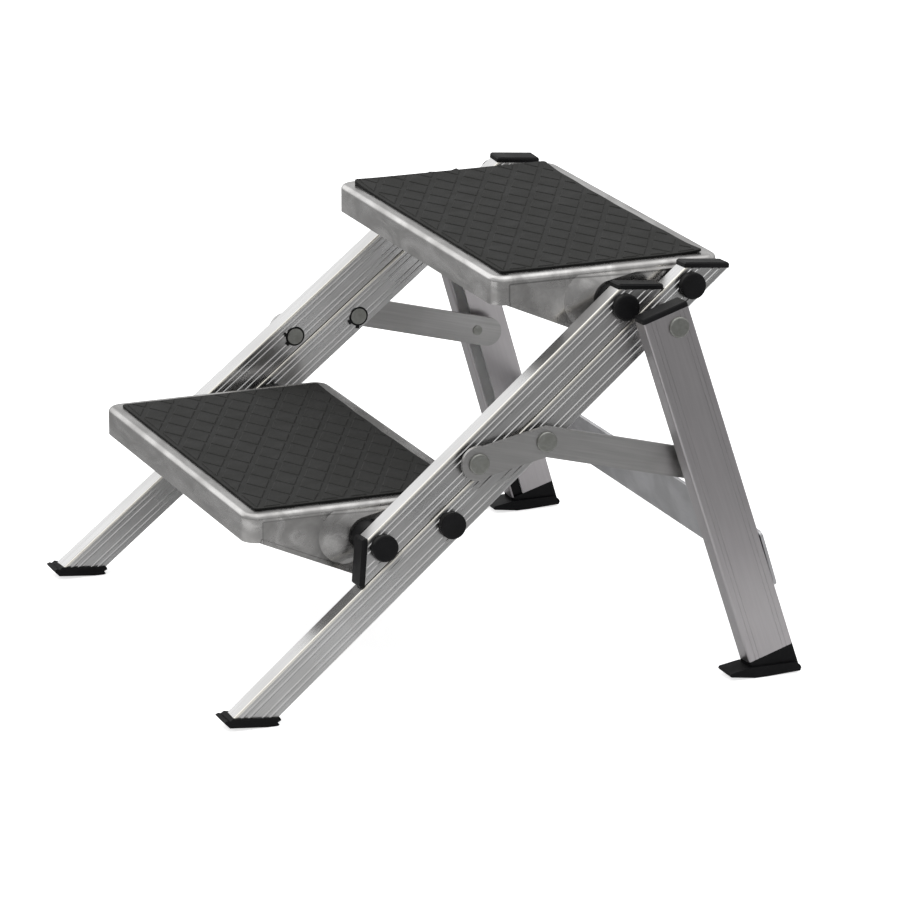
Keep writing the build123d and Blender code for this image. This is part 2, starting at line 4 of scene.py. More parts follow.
import bmesh
import bpy
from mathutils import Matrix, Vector


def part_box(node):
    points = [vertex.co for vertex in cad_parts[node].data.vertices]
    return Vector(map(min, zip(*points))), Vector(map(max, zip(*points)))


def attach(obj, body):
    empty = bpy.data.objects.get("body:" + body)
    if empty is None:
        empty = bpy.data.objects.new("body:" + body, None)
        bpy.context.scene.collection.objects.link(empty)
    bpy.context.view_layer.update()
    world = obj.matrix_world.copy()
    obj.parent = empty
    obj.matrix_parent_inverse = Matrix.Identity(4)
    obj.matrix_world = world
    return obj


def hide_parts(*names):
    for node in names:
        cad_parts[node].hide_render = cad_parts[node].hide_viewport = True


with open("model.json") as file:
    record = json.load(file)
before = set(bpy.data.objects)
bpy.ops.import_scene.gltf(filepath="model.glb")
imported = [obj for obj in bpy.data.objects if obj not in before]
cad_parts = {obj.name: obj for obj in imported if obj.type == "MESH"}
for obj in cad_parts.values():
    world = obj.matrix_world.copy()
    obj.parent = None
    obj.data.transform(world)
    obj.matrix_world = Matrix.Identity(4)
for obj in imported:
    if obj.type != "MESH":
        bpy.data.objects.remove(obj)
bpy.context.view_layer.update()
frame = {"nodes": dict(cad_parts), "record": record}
nodes = frame["nodes"]
print("frame loaded:", len(nodes), "nodes")


def addNode(tree, kind, **settings):
    node = tree.nodes.new(kind)
    for key, value in settings.items():
        setattr(node, key, value)
    return node


def feed(tree, socket, source):
    # a socket takes either another socket or a plain value
    if hasattr(source, "is_linked"):
        tree.links.new(source, socket)
    else:
        socket.default_value = source


def mapRange(tree, value, low, high, outLow, outHigh, smooth=False):
    node = addNode(tree, "ShaderNodeMapRange", interpolation_type="SMOOTHSTEP" if smooth else "LINEAR")
    sources = {"Value": value, "From Min": low, "From Max": high, "To Min": outLow, "To Max": outHigh}
    for label, source in sources.items():
        feed(tree, node.inputs[label], source)
    return node.outputs["Result"]


def mixColour(tree, factor, first, second, blend="MIX"):
    # the colour sockets share their names with the float ones, so they go by number
    node = addNode(tree, "ShaderNodeMix", data_type="RGBA", blend_type=blend)
    for index, source in ((0, factor), (6, first), (7, second)):
        feed(tree, node.inputs[index], source)
    return node.outputs[2]


def combine(tree, operation, first, second):
    node = addNode(tree, "ShaderNodeMath", operation=operation)
    feed(tree, node.inputs[0], first)
    feed(tree, node.inputs[1], second)
    return node.outputs[0]


def scaleColour(tree, colour, factor):
    shade = addNode(tree, "ShaderNodeCombineColor")
    for label in ("Red", "Green", "Blue"):
        feed(tree, shade.inputs[label], factor)
    return mixColour(tree, 1.0, colour, shade.outputs["Color"], "MULTIPLY")


def stretchVector(tree, vector, factors):
    node = addNode(tree, "ShaderNodeVectorMath", operation="MULTIPLY")
    feed(tree, node.inputs[0], vector)
    feed(tree, node.inputs[1], factors)
    return node.outputs["Vector"]


def newGroup(name, inputs, outputs):
    group = bpy.data.node_groups.new(name, "ShaderNodeTree")
    for label, kind, value in inputs:
        socket = group.interface.new_socket(label, in_out="INPUT", socket_type=kind)
        socket.default_value = value
    for label, kind in outputs:
        group.interface.new_socket(label, in_out="OUTPUT", socket_type=kind)
    given = group.nodes.new("NodeGroupInput").outputs
    out = group.nodes.new("NodeGroupOutput").inputs
    return group, given, out


def placeGroup(tree, group, values):
    node = addNode(tree, "ShaderNodeGroup", node_tree=group)
    for label, value in values.items():
        node.inputs[label].default_value = value
    return node.outputs


def noise(tree, vector, scale, detail, roughness=0.5, distortion=0.0):
    node = addNode(tree, "ShaderNodeTexNoise")
    sources = {
        "Vector": vector,
        "Scale": scale,
        "Detail": detail,
        "Roughness": roughness,
        "Distortion": distortion,
    }
    for label, source in sources.items():
        feed(tree, node.inputs[label], source)
    return node.outputs["Fac"]


skinOutputs = [
    ("Colour", "NodeSocketColor"),
    ("Roughness", "NodeSocketFloat"),
    ("Height", "NodeSocketFloat"),
]
markOutputs = [("Mark", "NodeSocketFloat")]

metalGrain = {
    "lineDetail": 2.0,
    "lineEdges": (0.3, 0.7),
    "cloudDetail": 2.5,
    "cloudRoughness": 0.45,
    "cloudEdges": (0.32, 0.68),
    "lineShare": 0.4,  # how much lines and clouds each dull the metal
    "cloudShare": 0.6,
    "dullEdges": (0.15, 0.85),
}


def drawnMetalGroup():
    # fine lines along the draw direction over soft clouded patches, as on extruded and rolled aluminium
    group, given, out = newGroup(
        "drawnMetal",
        [
            ("Colour", "NodeSocketColor", (0.6, 0.6, 0.6, 1)),
            ("Shade", "NodeSocketColor", (0.4, 0.4, 0.4, 1)),
            ("Turn", "NodeSocketVector", (0, 0, 0)),
            ("Line Scale", "NodeSocketFloat", 900.0),
            ("Stretch", "NodeSocketVector", (1, 0.01, 1)),
            ("Line Depth", "NodeSocketFloat", 0.05),
            ("Cloud Scale", "NodeSocketFloat", 25.0),
            ("Cloud", "NodeSocketFloat", 0.4),
            ("Cloud Stretch", "NodeSocketVector", (1, 1, 1)),
            ("Swirl", "NodeSocketFloat", 0.0),
            ("Dent", "NodeSocketFloat", 0.0),
            ("Grain", "NodeSocketFloat", 1.0),
            ("Rough Low", "NodeSocketFloat", 0.2),
            ("Rough High", "NodeSocketFloat", 0.4),
        ],
        skinOutputs,
    )
    place = addNode(group, "ShaderNodeTexCoord").outputs["Object"]
    aligned = addNode(group, "ShaderNodeVectorRotate", rotation_type="EULER_XYZ")
    feed(group, aligned.inputs["Vector"], place)
    feed(group, aligned.inputs["Rotation"], given["Turn"])
    drawn = stretchVector(group, aligned.outputs["Vector"], given["Stretch"])
    lines = noise(group, drawn, given["Line Scale"], metalGrain["lineDetail"])
    drifted = stretchVector(group, place, given["Cloud Stretch"])
    clouds = noise(
        group,
        drifted,
        given["Cloud Scale"],
        metalGrain["cloudDetail"],
        metalGrain["cloudRoughness"],
        given["Swirl"],
    )
    spread = mapRange(group, clouds, *metalGrain["cloudEdges"], 0.0, 1.0, True)
    clouded = combine(group, "MULTIPLY", spread, given["Cloud"])
    toned = mixColour(group, clouded, given["Colour"], given["Shade"])
    dark = combine(group, "SUBTRACT", 1.0, given["Line Depth"])
    light = combine(group, "ADD", 1.0, given["Line Depth"])
    lineTone = mapRange(group, lines, *metalGrain["lineEdges"], dark, light)
    feed(group, out["Colour"], scaleColour(group, toned, lineTone))
    lineDull = combine(group, "MULTIPLY", lines, metalGrain["lineShare"])
    cloudDull = combine(group, "MULTIPLY", spread, metalGrain["cloudShare"])
    dull = combine(group, "ADD", lineDull, cloudDull)
    rough = mapRange(group, dull, *metalGrain["dullEdges"], given["Rough Low"], given["Rough High"])
    feed(group, out["Roughness"], rough)
    dents = combine(group, "MULTIPLY", clouds, given["Dent"])
    scratches = combine(group, "MULTIPLY", lines, given["Grain"])
    feed(group, out["Height"], combine(group, "ADD", dents, scratches))
    return group


skinGrain = {
    "grainDetail": 2.0,
    "grainEdges": (0.3, 0.7),
    "grainTone": (0.85, 1.15),
    "patchScale": 45.0,
    "patchDetail": 4.0,
    "dustEdges": (0.4, 0.75),
    "roughEdges": (0.3, 0.7),
}


def mouldedSkinGroup():
    # finely pitted skin of moulded plastic or rubber with a little dust
    group, given, out = newGroup(
        "mouldedSkin",
        [
            ("Colour", "NodeSocketColor", (0.02, 0.02, 0.02, 1)),
            ("Dust", "NodeSocketColor", (0.1, 0.1, 0.1, 1)),
            ("Dust Amount", "NodeSocketFloat", 0.3),
            ("Grain Scale", "NodeSocketFloat", 1500.0),
            ("Rough Low", "NodeSocketFloat", 0.4),
            ("Rough High", "NodeSocketFloat", 0.6),
        ],
        skinOutputs,
    )
    place = addNode(group, "ShaderNodeTexCoord").outputs["Object"]
    grain = noise(group, place, given["Grain Scale"], skinGrain["grainDetail"])
    patches = noise(group, place, skinGrain["patchScale"], skinGrain["patchDetail"])
    spread = mapRange(group, patches, *skinGrain["dustEdges"], 0.0, 1.0)
    amount = combine(group, "MULTIPLY", spread, given["Dust Amount"])
    speckled = mixColour(group, amount, given["Colour"], given["Dust"])
    grainTone = mapRange(group, grain, *skinGrain["grainEdges"], *skinGrain["grainTone"])
    feed(group, out["Colour"], scaleColour(group, speckled, grainTone))
    rough = mapRange(group, patches, *skinGrain["roughEdges"], given["Rough Low"], given["Rough High"])
    feed(group, out["Roughness"], rough)
    feed(group, out["Height"], grain)
    return group


def band(tree, value, middle, half, blur):
    # 1 inside a band about the middle, fading to 0 over the blur
    off = combine(tree, "ABSOLUTE", combine(tree, "SUBTRACT", value, middle), 0.0)
    return mapRange(tree, off, half, combine(tree, "ADD", half, blur), 1.0, 0.0, True)


def turned(tree, along, across, angle, way="SUBTRACT"):
    # a coordinate in a frame that is turned by the angle, or turned back with ADD
    first = combine(tree, "MULTIPLY", along, combine(tree, "COSINE", angle, 0.0))
    second = combine(tree, "MULTIPLY", across, combine(tree, "SINE", angle, 0.0))
    return combine(tree, way, first, second)


def placeOf(tree):
    # distance to the side, which is the same right and left, depth and height
    parts = addNode(tree, "ShaderNodeSeparateXYZ")
    feed(tree, parts.inputs["Vector"], addNode(tree, "ShaderNodeTexCoord").outputs["Object"])
    aside = combine(tree, "ABSOLUTE", parts.outputs["X"], 0.0)
    return aside, parts.outputs["Y"], parts.outputs["Z"]


def cornerHighlightGroup():
    # the upper corner of a rail, painted bright as a painted highlight for the light its rounded edge
    # would catch
    group, given, out = newGroup(
        "cornerHighlight",
        [
            ("Rise", "NodeSocketFloat", 0.0),
            ("Lean", "NodeSocketFloat", 0.0),
            ("Axis", "NodeSocketFloat", 0.0),
            ("Level", "NodeSocketFloat", 0.0),
            ("Half Width", "NodeSocketFloat", 0.001),
            ("Blur", "NodeSocketFloat", 0.0003),
        ],
        markOutputs,
    )
    aside, depth, height = placeOf(group)
    upright = turned(group, height, aside, given["Lean"])
    risen = turned(group, upright, depth, given["Rise"])
    across = combine(group, "SUBTRACT", risen, given["Axis"])
    feed(group, out["Mark"], band(group, across, given["Level"], given["Half Width"], given["Blur"]))
    return group


def tubeBoreLightGroup():
    # the inside of a leaning, tilted tube, painted near-white as painted light on its shaded bore
    group, given, out = newGroup(
        "tubeBoreLight",
        [
            ("Lean", "NodeSocketFloat", 0.0),
            ("Tilt", "NodeSocketFloat", 0.0),
            ("Side", "NodeSocketFloat", 0.0),
            ("Half Thickness", "NodeSocketFloat", 0.01),
            ("Middle", "NodeSocketFloat", 0.0),
            ("Half Width", "NodeSocketFloat", 0.02),
            ("Blur", "NodeSocketFloat", 0.0002),
        ],
        markOutputs,
    )
    aside, depth, height = placeOf(group)
    outward = turned(group, aside, height, given["Lean"], "ADD")
    upright = turned(group, height, aside, given["Lean"])
    across = turned(group, depth, upright, given["Tilt"], "ADD")
    inThickness = band(group, outward, given["Side"], given["Half Thickness"], given["Blur"])
    inWidth = band(group, across, given["Middle"], given["Half Width"], given["Blur"])
    feed(group, out["Mark"], combine(group, "MULTIPLY", inThickness, inWidth))
    return group


def panFoldsAndShadeGroup():
    # a pan's side: the seam behind the front corner, the crease under the rim, and a painted shade
    # darkening the skirt between them
    group, given, out = newGroup(
        "panFoldsAndShade",
        [
            ("Side", "NodeSocketFloat", 0.0),
            ("Seam", "NodeSocketFloat", 0.0),
            ("Crease", "NodeSocketFloat", 0.0),
            ("Half Width", "NodeSocketFloat", 0.0004),
            ("Blur", "NodeSocketFloat", 0.0006),
            ("Strength", "NodeSocketFloat", 0.6),
            ("Skirt Shade", "NodeSocketFloat", 0.0),
        ],
        markOutputs,
    )
    aside, depth, height = placeOf(group)
    onSide = combine(group, "GREATER_THAN", aside, given["Side"])
    below = combine(group, "LESS_THAN", height, given["Crease"])
    behind = combine(group, "GREATER_THAN", depth, given["Seam"])
    seam = band(group, depth, given["Seam"], given["Half Width"], given["Blur"])
    crease = band(group, height, given["Crease"], given["Half Width"], given["Blur"])
    seam = combine(group, "MULTIPLY", seam, below)
    crease = combine(group, "MULTIPLY", crease, behind)
    lines = combine(group, "MAXIMUM", seam, crease)
    # the skirt below the crease and behind the seam is darkened here as painted shade
    paintedSkirtShade = combine(group, "MULTIPLY", combine(group, "MULTIPLY", below, behind), given["Skirt Shade"])
    marked = combine(group, "MAXIMUM", combine(group, "MULTIPLY", lines, given["Strength"]), paintedSkirtShade)
    feed(group, out["Mark"], combine(group, "MULTIPLY", marked, onSide))
    return group


drawnMetal = drawnMetalGroup()
mouldedSkin = mouldedSkinGroup()
cornerHighlight = cornerHighlightGroup()
panFoldsAndShade = panFoldsAndShadeGroup()
tubeBoreLight = tubeBoreLightGroup()


def grey(value, warm=0.0):
    return (value * (1 + warm), value, value * (1 - warm), 1)


sideLean = math.radians(3.0)
railSlope = math.radians(39.4)
legTilt = math.radians(17.2)
railRun = (-railSlope, 0, 0)  # turns bring each piece's length onto the Y axis
legRun = (math.radians(90) - legTilt, 0, 0)
linkRun = (math.radians(14.5), 0, 0)
braceRun = (0, 0, math.radians(90))
longLines = (1, 0.008, 1)

ribbedRail = {
    "group": drawnMetal,
    "skin": {
        "Colour": grey(0.62),
        "Shade": grey(0.52, 0.01),
        "Turn": railRun,
        "Stretch": longLines,
        "Line Scale": 900.0,
        "Line Depth": 0.07,
        "Cloud Scale": 14.0,
        "Cloud": 0.5,
        "Rough Low": 0.24,
        "Rough High": 0.32,
    },
    "metallic": 1.0,
    "specular": 0.5,
    "bump": (0.05, 0.0002),
}
railAxes = {"frontRail": 0.18719, "rearRail": 0.15509}  # height of each axis, square to the slope
# cream colour painted along each rail's upper corner as a painted highlight
cornerHighlightColour = (1.0, 0.97, 0.89, 1)
cornerHighlightBand = {
    "Rise": railSlope,
    "Lean": sideLean,
    "Level": 0.0145,
    "Half Width": 0.0011,
    "Blur": 0.0001,
}


def railLook(name, axis):
    mark = {"group": cornerHighlight, "values": {**cornerHighlightBand, "Axis": axis}, "colour": cornerHighlightColour}
    return {**ribbedRail, "name": name, "mark": mark}


railLooks = {name: railLook(name, axis) for name, axis in railAxes.items()}
pressedTread = {
    "group": drawnMetal,
    "skin": {
        "Shade": grey(0.30, 0.02),
        "Turn": braceRun,
        "Stretch": (1, 0.3, 1),
        "Line Scale": 260.0,
        "Line Depth": 0.05,
        "Cloud Scale": 36.0,
        "Cloud": 0.6,
        "Cloud Stretch": (0.35, 1, 1),
        "Swirl": 1.2,
        "Dent": 0.4,
        "Grain": 0.02,
        "Rough Low": 0.20,
        "Rough High": 0.34,
    },
    "metallic": 1.0,
    "specular": 0.5,
    "bump": (1.0, 0.0006),
}
panFoldPlace = {  # how far each line lies in from the pan's own box
    "side": 0.013,
    "seam": 0.0158,
    "crease": 0.0074,
    # colour of the seam and crease lines, and of the skirt's painted shade
    "colour": grey(0.16, 0.02),
}
# the upper tread's colour is painted lighter and the lower one's darker, with painted shade on the lower
# skirt, for how light falls on each
treadLitAndShadedTones = {
    "upper_tread": {"colour": grey(0.69, 0.014), "skirtShade": 0.0},
    "lower_tread": {"colour": grey(0.62, 0.014), "skirtShade": 0.32},
}


def treadLook(node, tones):
    low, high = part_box(node)
    values = {
        "Side": high.x - panFoldPlace["side"],
        "Seam": low.y + panFoldPlace["seam"],
        "Crease": high.z - panFoldPlace["crease"],
        "Skirt Shade": tones["skirtShade"],
    }
    return {
        **pressedTread,
        "name": node,
        "skin": {**pressedTread["skin"], "Colour": tones["colour"]},
        "mark": {"group": panFoldsAndShade, "values": values, "colour": panFoldPlace["colour"]},
    }


treadLooks = {node: treadLook(node, tones) for node, tones in treadLitAndShadedTones.items()}
# the tube's shaded inside is painted near-white and matt, a painted light
boreLightPaint = {
    "wall": 0.0012,  # how much of the tube's wall keeps the outer finish
    "roughness": 0.95,
    "colour": grey(0.96),
}


def legBore(node):
    # where the tube's inside lies, read from its own corners
    sides, widths = [], []
    for vertex in nodes[node].data.vertices:
        x, y, z = abs(vertex.co.x), vertex.co.y, vertex.co.z
        upright = z * math.cos(sideLean) - x * math.sin(sideLean)
        sides.append(x * math.cos(sideLean) + z * math.sin(sideLean))
        widths.append(y * math.cos(legTilt) + upright * math.sin(legTilt))
    values = {
        "Lean": sideLean,
        "Tilt": legTilt,
        "Side": (min(sides) + max(sides)) / 2,
        "Half Thickness": (max(sides) - min(sides)) / 2 - boreLightPaint["wall"],
        "Middle": (min(widths) + max(widths)) / 2,
        "Half Width": (max(widths) - min(widths)) / 2 - boreLightPaint["wall"],
    }
    return {**boreLightPaint, "group": tubeBoreLight, "values": values}


satinLeg = {
    "name": "satinLeg",
    "bore": legBore("rear_leg_right"),
    "group": drawnMetal,
    "skin": {
        "Colour": (0.56, 0.54, 0.55, 1),
        "Shade": (0.50, 0.475, 0.49, 1),
        "Turn": legRun,
        "Stretch": longLines,
        "Line Scale": 420.0,
        "Line Depth": 0.035,
        "Cloud Scale": 10.0,
        "Cloud": 0.7,
        "Rough Low": 0.29,
        "Rough High": 0.36,
    },
    "metallic": 1.0,
    "specular": 0.5,
    "bump": (0.05, 0.0002),
}
linkStrip = {
    "name": "linkStrip",
    "group": drawnMetal,
    "skin": {
        "Colour": grey(0.48, 0.008),
        "Shade": grey(0.40, 0.012),
        "Turn": linkRun,
        "Stretch": (1, 0.03, 1),
        "Line Scale": 420.0,
        "Line Depth": 0.09,
        "Cloud Scale": 22.0,
        "Cloud": 0.7,
        "Rough Low": 0.32,
        "Rough High": 0.40,
    },
    "metallic": 1.0,
    "specular": 0.5,
    "bump": (0.05, 0.0002),
}
bracePlate = {
    "name": "bracePlate",
    "group": drawnMetal,
    "skin": {
        "Colour": (0.575, 0.575, 0.59, 1),
        "Shade": (0.48, 0.48, 0.49, 1),
        "Turn": braceRun,
        "Stretch": (1, 0.2, 1),
        "Line Scale": 300.0,
        "Line Depth": 0.03,
        "Cloud Scale": 30.0,
        "Cloud": 0.8,
        "Swirl": 0.6,
        "Rough Low": 0.36,
        "Rough High": 0.48,
    },
    "metallic": 1.0,
    "specular": 0.5,
    "bump": (0.06, 0.0002),
}
treadMat = {
    "name": "treadMat",
    "group": mouldedSkin,
    "skin": {
        "Colour": (0.0202, 0.0202, 0.0190, 1),
        "Dust": (0.0287, 0.0287, 0.0266, 1),
        "Dust Amount": 0.6,
        "Grain Scale": 1400.0,
        "Rough Low": 0.62,
        "Rough High": 0.80,
    },
    "metallic": 0.0,
    "specular": 0.25,
    "bump": (0.25, 0.0004),
}
# the mat's cut edge, painted darker than the mat's top as painted shade
shadedMatEdge = {
    "name": "shadedMatEdge",
    "group": mouldedSkin,
    "skin": {
        "Colour": (0.006, 0.006, 0.006, 1),
        "Dust": (0.012, 0.012, 0.011, 1),
        "Dust Amount": 0.4,
        "Grain Scale": 1200.0,
        "Rough Low": 0.65,
        "Rough High": 0.85,
    },
    "metallic": 0.0,
    "specular": 0.2,
    "bump": (0.25, 0.0004),
}
footRubber = {
    "name": "footRubber",
    "group": mouldedSkin,
    "skin": {
        "Colour": (0.004, 0.004, 0.0045, 1),
        "Dust": (0.012, 0.012, 0.0125, 1),
        "Dust Amount": 0.3,
        "Grain Scale": 900.0,
        "Rough Low": 0.42,
        "Rough High": 0.60,
    },
    "metallic": 0.0,
    "specular": 0.12,
    "bump": (0.2, 0.0004),
}
blackMoulding = {
    "name": "blackMoulding",
    "group": mouldedSkin,
    "skin": {
        "Colour": (0.006, 0.006, 0.0065, 1),
        "Dust": (0.016, 0.016, 0.0175, 1),
        "Dust Amount": 0.25,
        "Grain Scale": 1300.0,
        "Rough Low": 0.34,
        "Rough High": 0.50,
    },
    "metallic": 0.0,
    "specular": 0.12,
    "bump": (0.15, 0.0003),
}
platedRivet = {
    "name": "platedRivet",
    "group": drawnMetal,
    "skin": {
        "Colour": (0.37, 0.375, 0.355, 1),
        "Shade": (0.28, 0.285, 0.26, 1),
        "Turn": (0, 0, 0),
        "Stretch": (1, 0.5, 1),
        "Line Scale": 700.0,
        "Line Depth": 0.05,
        "Cloud Scale": 150.0,
        "Cloud": 0.7,
        "Swirl": 0.8,
        "Rough Low": 0.32,
        "Rough High": 0.46,
    },
    "metallic": 1.0,
    "specular": 0.5,
    "bump": (0.1, 0.0002),
}


def makeFinish(look):
    material = bpy.data.materials.new(look["name"])
    material.use_nodes = True
    tree = material.node_tree
    shader = tree.nodes["Principled BSDF"]
    shader.inputs["Metallic"].default_value = look["metallic"]
    shader.inputs["Specular IOR Level"].default_value = look["specular"]
    skin = placeGroup(tree, look["group"], look["skin"])
    colour, roughness = skin["Colour"], skin["Roughness"]
    if "mark" in look:
        mark = look["mark"]
        share = placeGroup(tree, mark["group"], mark["values"])["Mark"]
        colour = mixColour(tree, share, colour, mark["colour"])
    if "bore" in look:
        bore = look["bore"]
        share = placeGroup(tree, bore["group"], bore["values"])["Mark"]
        roughness = mapRange(tree, share, 0.0, 1.0, roughness, bore["roughness"])
        colour = mixColour(tree, share, colour, bore["colour"])
    tree.links.new(colour, shader.inputs["Base Color"])
    tree.links.new(roughness, shader.inputs["Roughness"])
    relief = addNode(tree, "ShaderNodeBump")
    relief.inputs["Strength"].default_value, relief.inputs["Distance"].default_value = look["bump"]
    tree.links.new(skin["Height"], relief.inputs["Height"])
    tree.links.new(relief.outputs["Normal"], shader.inputs["Normal"])
    return material


slotLooks = {
    "rail_aluminium": railLooks["rearRail"],
    "leg_aluminium": satinLeg,
    "mat_rubber": treadMat,
    "foot_rubber": footRubber,
    "black_plastic": blackMoulding,
    "fastener_steel": platedRivet,
}
ownLooks = {"rear_brace": bracePlate, **treadLooks}
for side in ("right", "left"):
    ownLooks["link_bar_" + side] = linkStrip
    ownLooks["front_rail_" + side] = railLooks["frontRail"]
finishes = {}
for look in (*slotLooks.values(), *ownLooks.values(), shadedMatEdge):
    if look["name"] not in finishes:
        finishes[look["name"]] = makeFinish(look)
print("finishes made:", len(finishes))


def dressNodes():
    for entry in frame["record"]["subparts"]:
        name, slot = entry["node"], entry["material_slot"]
        look = ownLooks.get(name) or slotLooks[slot]
        piece = nodes[name]
        piece.data.materials.clear()
        piece.data.materials.append(finishes[look["name"]])


edgeRounds = {
    "rail_aluminium": 0.0011,
    "leg_aluminium": 0.0007,
    "foot_rubber": 0.0006,
    "black_plastic": 0.0005,
}
roundSteps = 3
cornerAngle = math.radians(58)  # only true corners are rounded, not the ribs' flanks


def roundEdges():
    for entry in frame["record"]["subparts"]:
        width = edgeRounds.get(entry["material_slot"])
        if width:
            rounding = nodes[entry["node"]].modifiers.new("roundedEdges", "BEVEL")
            rounding.width = width
            rounding.segments = roundSteps
            rounding.limit_method = "ANGLE"
            rounding.angle_limit = cornerAngle


dressNodes()
roundEdges()
print("frame pieces finished")


matPattern = {
    "angle": 27.75,  # degrees between each family of grooves and the stool's width
    "pitch": 0.0252,  # square across the grooves
    "shift": 0.0010,
    "wideGroove": 0.0046,  # grooves that fall to the right
    "fineGroove": 0.0040,
    "padRise": 0.0008,
    "padBevel": 0.0013,
    "padBreak": (0.4, 0.35),  # where the bevel turns: share of its width, and of the rise from the top
    "padSunk": 0.0002,  # the pads' feet stand a little inside the sheet
    "leastSide": 2.4,  # the shortest side a pad keeps, in pad bevels
    "leastArea": 4e-5,  # smaller scraps at the border are left out
    "edge": 0.0030,  # plain border round the pads
    "corner": 0.004,
    "cornerSteps": 6,
    "shoulder": 0.0005,
    "rearSag": 0.0026,  # how far the rear edge is drawn in at its middle
    "ripple": 0.0007,
    "ripples": 5,
    "edgeSteps": 48,
    "leftReach": 0.060,
    "curlLength": 0.026,
    "curlSteps": 6,
}
# how each mat lies: its left edge cut short or swollen, and its corners lifted off the pan
upperFit = {
    "leftTrim": 0.0,
    "leftSwell": 0.0018,
    "curl": {"frontLeft": 0.0006, "rearLeft": 0.0003, "rearRight": 0.0016, "frontRight": 0.0003},
}
lowerFit = {
    "leftTrim": 0.0015,
    "leftSwell": -0.0002,
    "curl": {"frontLeft": 0.0002, "rearLeft": 0.0003, "rearRight": 0.0008, "frontRight": 0.0003},
}


def clipPolygon(points, origin, normal):
    kept = []
    for here, there in zip(points, points[1:] + points[:1]):
        a = (here - origin).dot(normal)
        b = (there - origin).dot(normal)
        if a >= 0:
            kept.append(here)
        if a * b < 0:
            kept.append(here.lerp(there, a / (a - b)))
    return kept


def areaOf(points):
    return 0.5 * sum(p.x * q.y - q.x * p.y for p, q in zip(points, points[1:] + points[:1]))


leastSpread = 0.3  # keeps a sharp corner from running far inward


def insetPolygon(points, amount):
    count = len(points)
    moved = []
    for index, point in enumerate(points):
        before = (point - points[index - 1]).normalized()
        after = (points[(index + 1) % count] - point).normalized()
        inBefore = Vector((-before.y, before.x))
        inAfter = Vector((-after.y, after.x))
        spread = max(1 + inBefore.dot(inAfter), leastSpread)
        moved.append(point + (inBefore + inAfter) * amount / spread)
    return moved


def dropShortSides(points, least):
    kept = []
    for point in points:
        if not kept or (point - kept[-1]).length > least:
            kept.append(point)
    if len(kept) > 1 and (kept[0] - kept[-1]).length <= least:
        kept.pop()
    return kept


def matOutline(low, high, pattern):
    # rounded corners, and a rear edge that is drawn in a little and ripples
    r = pattern["corner"]
    cornerSteps, edgeSteps = pattern["cornerSteps"], pattern["edgeSteps"]
    corners = (
        (high.x - r, low.y + r, -90),
        (high.x - r, high.y - r, 0),
        (low.x + r, high.y - r, 90),
        (low.x + r, low.y + r, 180),
    )
    points = []
    for x, y, start in corners:
        for k in range(cornerSteps + 1):
            turn = math.radians(start + 90 * k / cornerSteps)
            points.append(Vector((x + r * math.cos(turn), y + r * math.sin(turn))))
        if start == 0:
            for k in range(1, edgeSteps):
                share = k / edgeSteps
                sag = pattern["rearSag"] * math.sin(math.pi * share)
                sag += pattern["ripple"] * (1 - math.cos(2 * pattern["ripples"] * math.pi * share)) / 2
                points.append(Vector((x + (low.x + r - x) * share, high.y - sag)))
    return points


def matPads(low, high, pattern):
    angle = math.radians(pattern["angle"])
    families = (
        (Vector((math.sin(angle), math.cos(angle))), pattern["wideGroove"]),
        (Vector((-math.sin(angle), math.cos(angle))), pattern["fineGroove"]),
    )
    pitch = pattern["pitch"]
    middle = Vector(((low.x + high.x) / 2, (low.y + high.y) / 2))
    reach = int(((high.x - low.x) + (high.y - low.y)) / pitch)
    edge = pattern["edge"]
    rearEdge = edge + pattern["rearSag"] + pattern["ripple"]
    fence = (
        (Vector((low.x + edge, low.y)), Vector((1, 0))),
        (Vector((high.x - edge, low.y)), Vector((-1, 0))),
        (Vector((low.x, low.y + edge)), Vector((0, 1))),
        (Vector((low.x, high.y - rearEdge)), Vector((0, -1))),
    )
    beyond = 1.0  # a cell starts far larger than the mat and is cut down
    pads = []
    for i in range(-reach, reach):
        for j in range(-reach, reach):
            cell = [
                Vector((low.x - beyond, low.y - beyond)),
                Vector((high.x + beyond, low.y - beyond)),
                Vector((high.x + beyond, high.y + beyond)),
                Vector((low.x - beyond, high.y + beyond)),
            ]
            cuts = list(fence)
            for (normal, groove), index in zip(families, (i, j)):
                start = index * pitch + pattern["shift"] + groove / 2
                cuts.append((middle + normal * start, normal))
                cuts.append((middle + normal * (start + pitch - groove), -normal))
            for origin, normal in cuts:
                if len(cell) > 2:
                    cell = clipPolygon(cell, origin, normal)
            cell = dropShortSides(cell, pattern["leastSide"] * pattern["padBevel"])
            if len(cell) > 2 and areaOf(cell) > pattern["leastArea"]:
                pads.append(cell)
    return pads


def wall(mesh, ring, nextRing, slot=0):
    count = len(ring)
    for k in range(count):
        face = mesh.faces.new((ring[k], ring[(k + 1) % count], nextRing[(k + 1) % count], nextRing[k]))
        face.material_index = slot


def bendBeyond(mesh, fold, outward, length, steps, lift, above=-math.inf):
    # slices the sheet past the fold and raises it along a shallow curve
    for k in range(steps):
        parts = mesh.verts[:] + mesh.edges[:] + mesh.faces[:]
        cut = fold + outward * (length * k / steps)
        bmesh.ops.bisect_plane(mesh, geom=parts, plane_co=cut, plane_no=outward)
    for vertex in mesh.verts:
        share = (vertex.co - fold).dot(outward) / length
        if share > 0 and vertex.co.z > above:
            step = min(int(share * steps), steps - 1)
            start, end = (step / steps) ** 2, ((step + 1) / steps) ** 2
            vertex.co.z += lift * (start + (end - start) * (share * steps - step))


